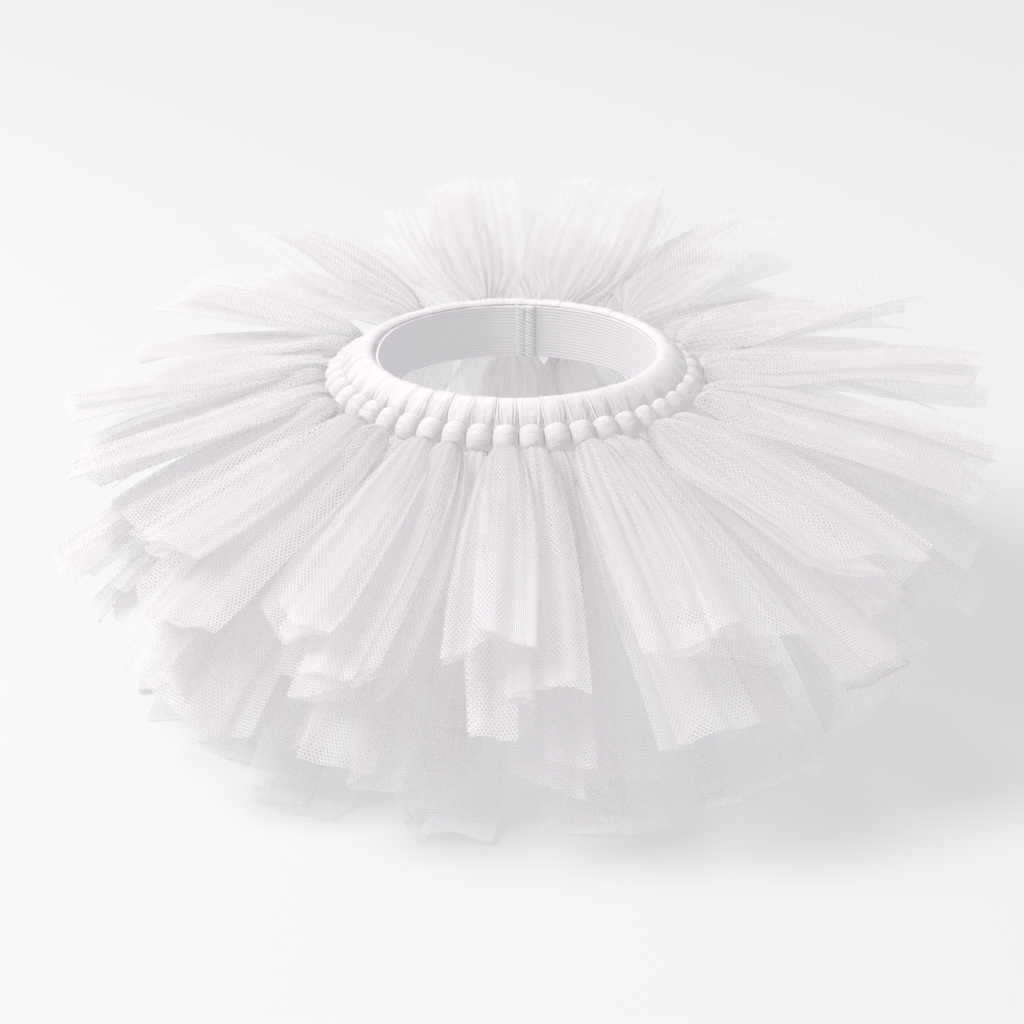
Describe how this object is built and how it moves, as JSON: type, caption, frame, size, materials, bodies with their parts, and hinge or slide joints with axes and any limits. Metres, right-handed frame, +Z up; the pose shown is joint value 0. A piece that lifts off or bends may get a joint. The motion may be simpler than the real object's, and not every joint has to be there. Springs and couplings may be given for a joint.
{
  "type": "ballet tutu",
  "caption": "Baby's flared ballet tutu of soft tulle strips, each folded over an elastic waistband and knotted, standing on its hem with the waist open.",
  "frame": {"origin": "on the surface that the tutu stands on, under the middle of its bounding box", "axes": "+Z up along the waist opening, -Y towards the front of the skirt"},
  "size_m": [0.4512, 0.4464, 0.1817],
  "materials": {
    "elastic": "matt ribbed flat elastic",
    "tulle": "fine soft net with a faint sheen, white with a trace of pink"
  },
  "bodies": {
    "root": {"elastic_band": "elastic", "tulle_strip_01": "tulle", "tulle_strip_02": "tulle", "tulle_strip_03": "tulle", "tulle_strip_04": "tulle", "tulle_strip_05": "tulle", "tulle_strip_06": "tulle", "tulle_strip_07": "tulle", "tulle_strip_08": "tulle", "tulle_strip_09": "tulle", "tulle_strip_10": "tulle", "tulle_strip_11": "tulle", "tulle_strip_12": "tulle", "tulle_strip_13": "tulle", "tulle_strip_14": "tulle", "tulle_strip_15": "tulle", "tulle_strip_16": "tulle", "tulle_strip_17": "tulle", "tulle_strip_18": "tulle", "tulle_strip_19": "tulle", "tulle_strip_20": "tulle", "tulle_strip_21": "tulle", "tulle_strip_22": "tulle", "tulle_strip_23": "tulle", "tulle_strip_24": "tulle", "tulle_strip_25": "tulle", "tulle_strip_26": "tulle", "tulle_strip_27": "tulle", "tulle_strip_28": "tulle", "tulle_strip_29": "tulle", "tulle_strip_30": "tulle", "tulle_strip_31": "tulle", "tulle_strip_32": "tulle", "tulle_strip_33": "tulle", "tulle_strip_34": "tulle", "tulle_strip_35": "tulle", "tulle_strip_36": "tulle", "tulle_strip_37": "tulle", "tulle_strip_38": "tulle", "tulle_strip_39": "tulle", "tulle_strip_40": "tulle", "tulle_strip_41": "tulle", "tulle_strip_42": "tulle", "tulle_strip_43": "tulle", "tulle_strip_44": "tulle", "tulle_strip_45": "tulle"}
  },
  "joints": []
}
